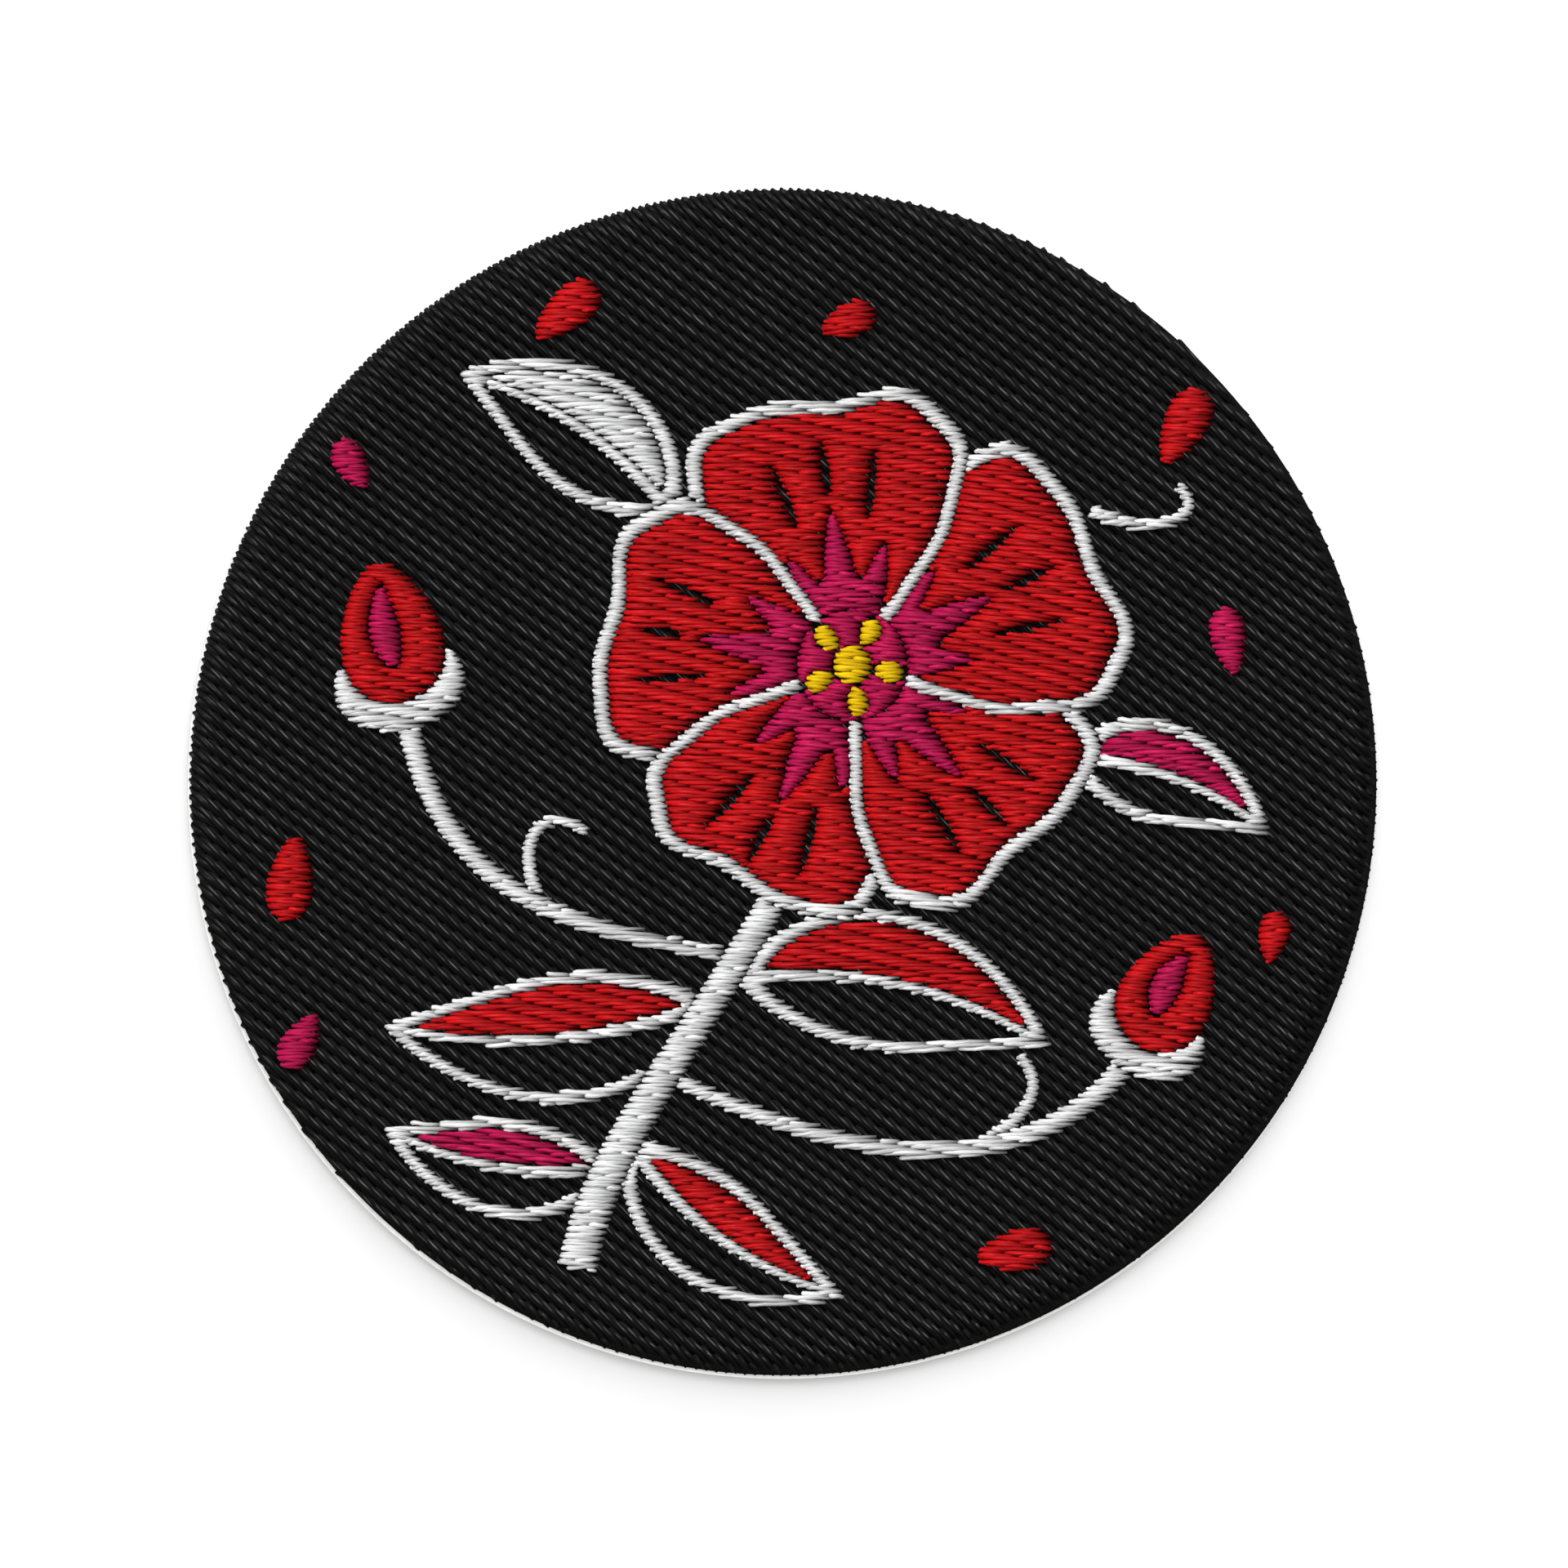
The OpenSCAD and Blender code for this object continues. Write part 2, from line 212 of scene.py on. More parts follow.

# %% [markdown]
# Thread finish
#
# Embroidery thread is a bundle of fine bright filaments with a slight twist. Each filament catches the
# light as a thin streak along the thread. The filaments could be modelled, but one is only 0.02 mm
# wide, so they are left to bump, roughness and colour, where their streaks are painted sheen. They
# follow each stitch, because every corner of its mesh carries how far along and how far around the
# thread it lies, and a tone of the stitch's own.
#
# The crest of a stitch is pulled flat and smooth, so it glints, some stitches more than others. A coat
# that is there only at the crest gives that glint, and the rest stays dull. The tail lies between two
# fat neighbours and gets little light, so its colour is darkened towards the tail, which is painted
# shade. Shadows alone would do that too, but less than in the photograph.

# %% Thread colours
THREADS = {
    # shade, light, specular level and polish of the crest
    "black_thread": ((0.0052, 0.0052, 0.0053, 1), (0.0098, 0.0098, 0.0099, 1), 0.030, 0.44),
    "red_thread": ((0.225, 0.0012, 0.0018, 1), (0.660, 0.0066, 0.0100, 1), 0.08, 0.08),
    "white_thread": ((0.400, 0.400, 0.405, 1), (0.980, 0.980, 0.980, 1), 0.12, 0.12),
    "crimson_thread": ((0.190, 0.0015, 0.0280, 1), (0.630, 0.0095, 0.1080, 1), 0.08, 0.08),
    "yellow_thread": ((0.480, 0.270, 0.0010, 1), (0.990, 0.680, 0.0040, 1), 0.08, 0.08),
}
print("thread colours:", len(THREADS))

# %% Thread finish
# How the filaments run: streaks in a millimetre and around, turns in a millimetre, contrast and depth.
FILAMENT_RUN = 1.0
FILAMENT_COUNT = 9.0
TWIST_PER_MM = 0.10
FILAMENT_CONTRAST = 2.8
FILAMENT_DEPTH = 0.026 * MM

# How far a stitch's tone moves it through the noise, so that no two have the same filaments.
TONE_STEP = 60.0

# How the colour changes: the share of the filaments' painted sheen streaks in it, and where and how far
# a painted shade darkens it towards the tail.
SHEEN_STREAK_SHARE = 0.55
TAIL_SHADE_START, TAIL_SHADE_RATE, TAIL_SHADE_CURVE, TAIL_SHADE_MOST = 0.12, 1.15, 1.25, 0.92
TAIL_SHADE_SHARE = 0.15

# Where the crest lies, as shares of the way along and around, and how its glint changes.
CREST_SHARE, CREST_SPREAD = 0.32, 0.105
CREST_AROUND, CREST_WIDTH, CREST_LEAN = 0.46, 0.125, -0.10
GLINT_LEAST, GLINT_RANGE, GLINT_DRIFT = 0.60, 0.80, 0.06
GLINT_BETWEEN, GLINT_ON_STRAND = 0.3, 1.3
GLINT_ROUGHNESS = 0.31
THREAD_ROUGHNESS, STRAND_SMOOTHNESS = 0.68, 0.12


def thread_finish(name, shade, light, specular, polish):
    """The finish of one thread colour, which reads the attributes of the stitches."""
    finish = Finish(name, {"Specular IOR Level": specular, "Coat Roughness": GLINT_ROUGHNESS})
    along, around, tone, share = (
        finish.node("ShaderNodeAttribute", {"attribute_name": word}, output="Fac")
        for word in ("along", "around", "tone", "share")
    )
    twisted = (around + along * TWIST_PER_MM) * FILAMENT_COUNT
    thread_place = finish.node(
        "ShaderNodeCombineXYZ", inputs={"X": along * FILAMENT_RUN, "Y": twisted, "Z": tone * TONE_STEP}
    )
    filaments = finish.node(
        "ShaderNodeTexNoise", inputs={"Vector": thread_place, "Scale": 1.0, "Detail": 2.0, "Roughness": 0.6}
    )
    strand = ((filaments - 0.5) * FILAMENT_CONTRAST + 0.5).clamped()
    # Painted shade: the colour grows darker towards the stitch's tail, which the neighbours' heads shade.
    tail_shade = ((share - TAIL_SHADE_START) * TAIL_SHADE_RATE).clamped() ** TAIL_SHADE_CURVE
    # Painted sheen: the filament streaks lighten and darken the colour, mixed with a tone that differs at
    # random from stitch to stitch.
    brightness = (strand * SHEEN_STREAK_SHARE + tone * (1 - SHEEN_STREAK_SHARE)).clamped()
    sheen_and_tone_colour = blend_colours(finish, brightness, shade, light)
    # The colour of the painted shade at the very tail.
    tail_shade_colour = tuple(TAIL_SHADE_SHARE * part for part in shade[:3]) + (1,)
    finish.wear("Base Color", blend_colours(finish, tail_shade * TAIL_SHADE_MOST, sheen_and_tone_colour, tail_shade_colour))
    from_crest = (share + tone * GLINT_DRIFT - (CREST_SHARE + GLINT_DRIFT / 2)) * (1 / CREST_SPREAD)
    from_top = (around - share * CREST_LEAN + (CREST_LEAN * CREST_SHARE - CREST_AROUND)) * (1 / CREST_WIDTH)
    crest = math.e ** ((from_crest**4.0 + from_top * from_top) * -1.0)
    glint = tone * GLINT_RANGE + GLINT_LEAST
    finish.wear("Coat Weight", crest * (GLINT_BETWEEN + strand * GLINT_ON_STRAND) * glint * polish)
    finish.wear("Roughness", THREAD_ROUGHNESS - strand * STRAND_SMOOTHNESS)
    grooves = {"Strength": 0.8, "Distance": FILAMENT_DEPTH, "Height": strand}
    finish.wear("Normal", finish.node("ShaderNodeBump", inputs=grooves))
    return finish.material


thread_materials = {slot_name: thread_finish(slot_name, *look) for slot_name, look in THREADS.items()}
print("thread finishes:", sorted(thread_materials))

# %% [markdown]
# One stitch
#
# A stitch is a short run of thread between two needle points. It bulges out of its first hole with a
# blunt head, runs nearly level and then slides down into the next hole, where the following stitch
# overlaps it like a roof tile. That gives each stitch a bright head and a dark tail. A curve with a
# bevel could make each one, but thousands of curves are slow. Instead one disc is made and its face is
# drawn out along X, station by station, so that all the stitches share one closed shape of a few dozen
# faces.

# %% One stitch
STITCH_SIDES = 5
STITCH_SHAPE = np.array([
    # share of the length, rise in mm, and width and thickness as shares of the thread's own
    (0.00, -0.20, 0.66, 0.60),
    (0.035, -0.11, 0.94, 0.88),
    (0.12, -0.02, 1.06, 1.00),
    (0.26, 0.03, 1.05, 1.04),
    (0.44, 0.04, 1.02, 1.02),
    (0.64, -0.03, 0.97, 0.96),
    (0.83, -0.17, 0.88, 0.88),
    (1.00, -0.36, 0.66, 0.60),
])
STATIONS = len(STITCH_SHAPE)

# A quarter turn, so that the way around starts at the underside and has its half at the crest.
UNDERSIDE = 0.25


def stitch_pattern():
    """Corner places around and along one stitch whose stations are 1 apart, and its faces."""
    shape = bmesh.new()
    turn = Matrix.Rotation(math.pi / 2, 4, "X") @ Matrix.Rotation(math.pi / 2, 4, "Y")
    bmesh.ops.create_circle(shape, cap_ends=True, segments=STITCH_SIDES, radius=1.0, matrix=turn)
    shape.faces.ensure_lookup_table()
    face = shape.faces[0]
    for station in range(1, STATIONS):
        drawn = bmesh.ops.extrude_face_region(shape, geom=[face])["geom"]
        if station > 1:
            bmesh.ops.delete(shape, geom=[face], context="FACES_ONLY")
        face = next(item for item in drawn if isinstance(item, bmesh.types.BMFace))
        bmesh.ops.translate(shape, verts=face.verts, vec=(1.0, 0.0, 0.0))
    bmesh.ops.recalc_face_normals(shape, faces=shape.faces)
    shape.verts.ensure_lookup_table()
    places = np.array([corner.co for corner in shape.verts])
    faces = [[corner.index for corner in face.verts] for face in shape.faces]
    shape.free()
    return places, faces


pattern_places, pattern_faces = stitch_pattern()
pattern_station = pattern_places[:, 0].round().astype(int)
pattern_turn = np.arctan2(pattern_places[:, 2], pattern_places[:, 1])
pattern_around = (pattern_turn / (2 * math.pi) + UNDERSIDE) % 1.0
print("one stitch:", len(pattern_places), "corners,", len(pattern_faces), "faces")
print("the first corners around at:", pattern_around[:STITCH_SIDES].round(2))

# %% [markdown]
# Outlines from the solids
#
# Every colour field of the design is a solid of the frame, and its thread ends along its outline. The
# outline could be written down again as points, but then the two would drift apart. So a copy of the
# solid's mesh is cut through its shoulder, below the crown, and only the cut is kept.

# %% Outlines
CUT_SHARE = 0.3
WELD = 0.0001 * MM


def outline_of(node):
    """The node's outline near its foot, as pairs of points in millimetres."""
    low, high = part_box(node)
    shape = bmesh.new()
    shape.from_mesh(frame["nodes"][node].data)
    bmesh.ops.remove_doubles(shape, verts=shape.verts, dist=WELD)
    bmesh.ops.bisect_plane(
        shape,
        geom=[*shape.verts, *shape.edges, *shape.faces],
        plane_co=(0, 0, low.z + CUT_SHARE * (high.z - low.z)),
        plane_no=(0, 0, 1),
        clear_inner=True,
        clear_outer=True,
    )
    cut = np.array([[corner.co.xy for corner in edge.verts] for edge in shape.edges]) / MM
    shape.free()
    return cut


motif_nodes = [name for name in slots if name not in ("backing", "ground")]
first_node = motif_nodes[0]
outlines = {name: outline_of(name) for name in motif_nodes}
print("outlines:", len(outlines), "with", sum(len(cut) for cut in outlines.values()), "edges")

# %% [markdown]
# Distance to an outline
#
# Thread lies high in the middle of a field and low beside its outline, so each point of a stitch has to
# know how far off the outline is. Measuring it against every edge would be slow. The outline is dotted
# instead, and a tree that is sorted by place, Blender's KDTree, finds the nearest dot at once.


# %% Distance to an outline
def dotted(segments, step=0.06):
    """Points along the segments, no further than a step apart."""
    lengths = np.linalg.norm(segments[:, 1] - segments[:, 0], axis=1)
    counts = np.maximum(1, np.ceil(lengths / step).astype(int))
    first = np.repeat(segments[:, 0], counts, axis=0)
    last = np.repeat(segments[:, 1], counts, axis=0)
    turn = np.concatenate([np.arange(count) / count for count in counts])[:, None]
    return first + turn * (last - first)


def nearest(points):
    """A search for the nearest of the points."""
    tree = KDTree(len(points))
    for index, (x, y) in enumerate(points):
        tree.insert((x, y, 0.0), index)
    tree.balance()
    return tree


def distances(tree, places):
    """Distance from each place, the last axis of which is x and y, to the tree's nearest point."""
    flat = places.reshape(-1, 2)
    found = np.array([tree.find((x, y, 0.0))[2] for x, y in flat])
    return found.reshape(places.shape[:-1])


print("dots on the first outline:", len(dotted(outlines[first_node])))

# %% [markdown]
# Rows of stitches
#
# The machine sews to and fro in straight rows. Where a row crosses an outline it starts or ends there,
# and in between it pierces the cloth at points of a fixed lattice. Each next row moves the lattice on,
# so the needle points of many rows line up as slanting grooves, which is the ribbed look of the black
# ground. At the edges two rows share one turn, which makes the small teeth of the rim.
#
# The stitches could be scattered over the field by chance, but the eye knows a machine's order at once.
# So the rows are laid as the machine lays them, and chance only moves each needle point a trace along
# its row. First comes the list of places where a row crosses the outline, with a nudge that keeps rows
# off its corners.

# %% Where rows cross an outline
ROW_NUDGE = 0.001
GROUND_PITCH = 0.2


def crossings(segments, angle, pitch):
    """(row number, place across, spans along) for each row that crosses the outline."""
    along = np.array([math.cos(angle), math.sin(angle)])
    across = np.array([-along[1], along[0]])
    run, height = segments @ along, segments @ across
    for row in range(math.ceil(height.min() / pitch), math.floor(height.max() / pitch) + 1):
        level = (row + ROW_NUDGE) * pitch
        met = (height[:, 0] < level) != (height[:, 1] < level)
        share = (level - height[met, 0]) / (height[met, 1] - height[met, 0])
        places = np.sort(run[met, 0] + share * (run[met, 1] - run[met, 0]))
        if len(places) > 1:
            yield row, level, places[: len(places) // 2 * 2].reshape(-1, 2)


level_rows = list(crossings(outlines[first_node], 0.0, GROUND_PITCH))
print("level rows across the first outline:", len(level_rows))

# %% Rows of stitches
GROUND_STITCH = 4.0
GROUND_SHIFTS = (0.0, 0.25, 0.5, 0.75)
TRIAL_SEED = 1

# The shortest row in pitches, the shortest stitch at a row's end in millimetres, and the share of the pitch
# by which the ends of two rows close up.
SHORTEST_ROW = 2
SHORTEST = 0.9
PAIRING = 0.38

# How far a stitch's head lies over the tail before it, and how loosely rows end.
HEAD_LAP = 0.10
END_LOOSE = 0.02


def lay_rows(segments, angle, pitch, length, shifts, chance, reach=0.0, loose=0.03, shortest=SHORTEST):
    """Stitches as rows of start along, start across, end along and end across."""
    laid = []
    for row, level, spans in crossings(segments, angle, pitch):
        shift = shifts[row % len(shifts)] * length
        for first, last in spans:
            first, last = first - reach, last + reach
            if last - first < SHORTEST_ROW * pitch:
                continue
            lowest = math.ceil((first - shift) / length)
            highest = math.floor((last - shift) / length)
            inner = np.arange(lowest, highest + 1) * length + shift
            inner = inner[(inner > first + shortest) & (inner < last - shortest)]
            inner = inner + chance.normal(0.0, loose, len(inner))
            ends = chance.normal(0.0, END_LOOSE, 2)
            stops = np.concatenate([[first + ends[0]], inner, [last + ends[1]]])
            levels = np.full(len(stops), level)
            lean = PAIRING * pitch if row % 2 else -PAIRING * pitch
            levels[0], levels[-1] = level - lean, level + lean
            for stop in range(len(stops) - 1):
                lap = HEAD_LAP if stop else 0.0
                laid.append((stops[stop] - lap, levels[stop], stops[stop + 1], levels[stop + 1]))
    return np.array(laid, dtype=float).reshape(-1, 4)


trial_chance = np.random.default_rng(TRIAL_SEED)
trial = lay_rows(outlines[first_node], 0.0, GROUND_PITCH, GROUND_STITCH, GROUND_SHIFTS, trial_chance)
print("stitches in the first outline:", len(trial))

# %% [markdown]
# The path of a stitch
#
# Each stitch follows a height that is worked out under it: the crown of its pad or the rolled rim of
# the ground. It dips at its needle points, a short one less than a long one, and sways a trace to the
# side. A cloth or hair simulation could find how the threads settle, but not so that they keep to the
# photograph's lattice. So the paths are reckoned as arrays, for all stitches of a field at once.

# %% The path of a stitch
FULL_LENGTH = 3.2
LEAST_DIP = 0.4
SWAY = 0.018


def paths_of(laid, angle, height_at, chance, lowest=0.0):
    """Middle line of each stitch in millimetres, and how far along it each station is."""
    along = np.array([math.cos(angle), math.sin(angle)])
    across = np.array([-along[1], along[0]])
    start = laid[:, :1] * along + laid[:, 1:2] * across
    end = laid[:, 2:3] * along + laid[:, 3:4] * across
    lengths = np.linalg.norm(end - start, axis=1)
    share = STITCH_SHAPE[:, 0]
    flat = start[:, None] + share[None, :, None] * (end - start)[:, None]
    sway = chance.normal(0.0, SWAY, flat.shape[:2])
    flat = flat + sway[:, :, None] * across
    depth = np.clip(lengths / FULL_LENGTH, LEAST_DIP, 1.0)[:, None]
    height = np.maximum(height_at(flat) + STITCH_SHAPE[:, 1] * depth, lowest)
    return np.concatenate([flat, height[:, :, None]], axis=2), lengths[:, None] * share


full_dip = -STITCH_SHAPE[-1, 1]
print("dip of a tail in mm:", full_dip, "and of a short stitch's:", round(full_dip * LEAST_DIP, 3))

# %% [markdown]
# From the pattern to stitches
#
# Real thread is round while it hangs and a little flat when it is pulled over cloth, and no two
# stitches are quite as plump. An object for each stitch, or instances of one, would turn and scale the
# pattern but not bend it. So the pattern's rings are set square on each path with arrays, which takes a
# second for thousands of stitches.

# %% From the pattern to stitches
THREAD_HALF_WIDTH = 0.15
THREAD_HALF_HEIGHT = 0.125
PLUMP_SPREAD = 0.06


def bent_pattern(paths, half_width, half_height, chance):
    """Corners of every stitch: the pattern's rings set square on the paths."""
    way = np.gradient(paths, axis=1)
    way /= np.linalg.norm(way, axis=2, keepdims=True)
    side = np.stack([-way[:, :, 1], way[:, :, 0], 0 * way[:, :, 0]], axis=2)
    side /= np.linalg.norm(side, axis=2, keepdims=True)
    up = np.cross(way, side)
    ring = pattern_station
    plump = chance.normal(1.0, PLUMP_SPREAD, (len(paths), 1))
    wide = half_width * plump * STITCH_SHAPE[ring, 2] * np.cos(pattern_turn)
    high = half_height * STITCH_SHAPE[ring, 3] * np.sin(pattern_turn)
    return paths[:, ring] + side[:, ring] * wide[:, :, None] + up[:, ring] * high[None, :, None]


print("thread in mm:", 2 * THREAD_HALF_WIDTH, "wide and", 2 * THREAD_HALF_HEIGHT, "thick")

# %% [markdown]
# A map of the stitches
#
# The finish can be baked into an image for other programs, which needs a flat map of the mesh.
# Blender's Smart UV Project could unfold it, but it takes long on so many small tubes and leaves thin,
# crooked islands. All stitches share one pattern, so one layout serves them all: a strip for the side
# and two rounds for the caps, in a cell that is three times as long as it is high.

# %% A map of the stitches
BAKE_MAP = "OFBake"
CELL_STRETCH = 3
STRIP_LEFT, STRIP_LENGTH, STRIP_LOW, STRIP_HEIGHT = 0.04, 0.92, 0.02, 0.70
CAP_LEFT, CAP_APART, CAP_MIDDLE, CAP_WIDTH, CAP_HEIGHT = 0.25, 0.5, 0.88, 0.03, 0.08


def bake_places(count):
    """Places of the pattern's face corners in the map, with one cell of it for each stitch."""
    corners = []
    for face in pattern_faces:
        u = pattern_station[face] / (STATIONS - 1)
        v = pattern_around[face]
        is_cap = np.ptp(u) == 0
        if is_cap:
            turn = 2 * math.pi * v
            u = CAP_LEFT + CAP_APART * u + CAP_WIDTH * np.cos(turn)
            v = CAP_MIDDLE + CAP_HEIGHT * np.sin(turn)
        else:
            crosses_seam = np.ptp(v) > 0.5
            v = np.where(crosses_seam & (v < 0.5), v + 1.0, v)
            u = STRIP_LEFT + STRIP_LENGTH * u
            v = STRIP_LOW + STRIP_HEIGHT * v
        corners.append(np.stack([u, v], axis=1))
    corners = np.concatenate(corners)
    columns = max(1, round(math.sqrt(count / CELL_STRETCH)))
    rows = math.ceil(count / columns)
    cell = np.arange(count)
    origin = np.stack([cell % columns, cell // columns], axis=1)
    return ((origin[:, None] + corners[None]) / (columns, rows)).reshape(-1, 2)


one_cell = bake_places(1)
print("one cell of the map:", one_cell.min(axis=0).round(2), "to", one_cell.max(axis=0).round(2))

# %% [markdown]
# One mesh for each field
#
# A colour field is sewn in one go with one thread, so its stitches become one piece. Joining thousands
# of objects would be slow, and faces added one by one too. So the corners, faces and attributes of a
# whole field are handed to the mesh as long arrays. Each finished piece then rides on the part's one
# body, and the solids it replaces are hidden.

# %% One mesh for each field
def sewn(name, corners, along, tones, material):
    """One joined mesh of stitches, with its thread attributes and bake map."""
    count, size = corners.shape[:2]
    faces = np.concatenate(pattern_faces)
    totals = np.array([len(face) for face in pattern_faces])
    mesh = bpy.data.meshes.new(name)
    mesh.vertices.add(count * size)
    mesh.vertices.foreach_set("co", (corners * MM).astype(np.float32).ravel())
    mesh.loops.add(count * len(faces))
    corner_of_loop = np.arange(count)[:, None] * size + faces
    mesh.loops.foreach_set("vertex_index", corner_of_loop.astype(np.int32).ravel())
    mesh.polygons.add(count * len(totals))
    starts = np.arange(count)[:, None] * len(faces) + np.concatenate([[0], np.cumsum(totals)[:-1]])
    mesh.polygons.foreach_set("loop_start", starts.astype(np.int32).ravel())
    mesh.update(calc_edges=True)
    mesh.polygons.foreach_set("use_smooth", np.ones(count * len(totals), dtype=bool))
    values = {
        "along": along[:, pattern_station],
        "around": np.broadcast_to(pattern_around, (count, size)),
        "share": np.broadcast_to(STITCH_SHAPE[pattern_station, 0], (count, size)),
        "tone": np.broadcast_to(tones[:, None], (count, size)),
    }
    for word, value in values.items():
        attribute = mesh.attributes.new(word, "FLOAT", "POINT")
        attribute.data.foreach_set("value", value.astype(np.float32).ravel())
    bake_map = mesh.uv_layers.new(name=BAKE_MAP)
    bake_map.uv.foreach_set("vector", bake_places(count).astype(np.float32).ravel())
    mesh.materials.append(material)
    piece = bpy.data.objects.new(name, mesh)
    bpy.context.scene.collection.objects.link(piece)
    return piece


def place(piece, slot_name, *replaced):
    """Rides a finished piece on the one body and hides the solids it replaces."""
    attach(piece, "root")
    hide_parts(*replaced)


print("corners of faces in one stitch:", sum(len(face) for face in pattern_faces))

# %% [markdown]
# Discs
#
# The backing cloth and the core of the ground are discs with a soft or rolled edge. A cylinder with a
# bevel could make them, but a profile that is spun about an axis gives the exact roll of the real edge.


# %% Discs
def spun(name, profile, middle, steps=256):
    """A closed solid from a profile of radii and heights, both ends of which are on the axis."""
    shape = bmesh.new()
    corners = [shape.verts.new((radius, 0.0, height)) for radius, height in profile]
    edges = [shape.edges.new(pair) for pair in zip(corners, corners[1:])]
    bmesh.ops.spin(
        shape, geom=[*corners, *edges], axis=(0, 0, 1), cent=(0, 0, 0),
        angle=2 * math.pi, steps=steps, use_merge=True,
    )
    bmesh.ops.remove_doubles(shape, verts=shape.verts, dist=WELD)
    bmesh.ops.recalc_face_normals(shape, faces=shape.faces)
    bmesh.ops.translate(shape, verts=shape.verts, vec=(middle.x, middle.y, 0.0))
    mesh = bpy.data.meshes.new(name)
    shape.to_mesh(mesh)
    shape.free()
    mesh.polygons.foreach_set("use_smooth", np.ones(len(mesh.polygons), dtype=bool))
    piece = bpy.data.objects.new(name, mesh)
    bpy.context.scene.collection.objects.link(piece)
    return piece


def rolled(radius, top, roll, turns=8):
    """Profile points of an edge that rolls over from a flat top to an upright side."""
    return [
        (radius - roll + roll * math.sin(tilt), top - roll + roll * math.cos(tilt))
        for tilt in (math.pi / 2 * turn / turns for turn in range(turns + 1))
    ]


print("points in a rolled edge:", len(rolled(radius=1.0, top=1.0, roll=0.5)))

# %% [markdown]
# Backing cloth
#
# The backing is stiff white cloth under the whole patch. From above it shows only as a pale line along
# the lower half of the rim, because it lies a trace off the middle and stands a little proud of its
# solid. Such stiff cloth doesn't hang or crease, so it needs no cloth simulation: a disc with a
# slightly soft cut edge does. Its weave is too fine to model, so two crossed waves with some fuzz give
# it as bump.

# %% Cloth finish
CLOTH_SHADE = (0.82, 0.82, 0.81, 1)
CLOTH_LIGHT = (0.92, 0.92, 0.91, 1)
YARN_SCALE = 560.0
FUZZ_SCALE = 1500.0
WEAVE_SHARE = 0.6
FUZZ_BUMP = 0.5
CLOTH_ROUGHNESS, FUZZ_ROUGHNESS = 0.78, 0.15
WEAVE_DEPTH = 0.05 * MM


def cloth_finish(name):
    """A plain weave of two crossed sets of yarn."""
    finish = Finish(name, {"Specular IOR Level": 0.25})
    on_piece = finish.node("ShaderNodeTexCoord", output="Object")

    def yarn(turn):
        """Waves that run one way over the cloth."""
        turned = finish.node("ShaderNodeMapping", inputs={"Vector": on_piece, "Rotation": (0, 0, turn)})
        return finish.node(
            "ShaderNodeTexWave",
            {"wave_type": "BANDS", "bands_direction": "X"},
            {"Vector": turned, "Scale": YARN_SCALE, "Distortion": 0.6, "Detail": 1.0},
            output="Fac",
        )

    fuzz = finish.node(
        "ShaderNodeTexNoise", inputs={"Vector": on_piece, "Scale": FUZZ_SCALE, "Detail": 3.0}
    )
    weave = yarn(0.0) * 0.5 + yarn(math.pi / 2) * 0.5
    brightness = (weave * WEAVE_SHARE + fuzz * (1 - WEAVE_SHARE)).clamped()
    finish.wear("Base Color", blend_colours(finish, brightness, CLOTH_SHADE, CLOTH_LIGHT))
    finish.wear("Roughness", CLOTH_ROUGHNESS + fuzz * FUZZ_ROUGHNESS)
    relief = {"Strength": 0.8, "Distance": WEAVE_DEPTH, "Height": weave + fuzz * FUZZ_BUMP}
    finish.wear("Normal", finish.node("ShaderNodeBump", inputs=relief))
    return finish.material


cloth_material = cloth_finish("backing_cloth")
print("cloth finish:", cloth_material.name, "with", len(cloth_material.node_tree.nodes), "nodes")

# %% Backing cloth
CLOTH_PROUD = 0.08 * MM
SOFT_EDGE = 0.03 * MM

back_low, back_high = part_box("backing")
back_middle = (back_low + back_high) / 2
back_radius = (back_high.x - back_low.x) / 2 + CLOTH_PROUD
back_profile = [
    (0.0, back_high.z),
    *rolled(back_radius, back_high.z, SOFT_EDGE, turns=3),
    (back_radius, 0.0),
    (0.0, 0.0),
]
backing = spun("backing_cloth", back_profile, back_middle)
backing.data.materials.append(cloth_material)
place(backing, "backing_cloth", "backing")
print("backing across in mm:", round(2 * back_radius / MM, 2))

# %% [markdown]
# Black ground
#
# Under the black rows lies a core of cloth and underlay thread. The underlay could be sewn too, but it
# hardly shows. The core only has to be dark and to keep light from shining through between stitches, so
# it is spun, and lies lower than the solid of the ground. It is moved a trace towards the lower right,
# where the tails of the rows end smoothly. At the upper left the blunt heads stand free of it and show
# as small teeth.

# %% Black core
# In millimetres: the radius of the rolled rim, and how far the core stays inside the rim and below the top.
ROLL = 1.1
CORE_SKIN = 0.04
CORE_COVER = 0.46
CORE_SHIFT = Vector((0.05, -0.05, 0.0)) * MM
CORE_SHADE = (0.003, 0.003, 0.003, 1)
CORE_LIGHT = (0.010, 0.010, 0.010, 1)

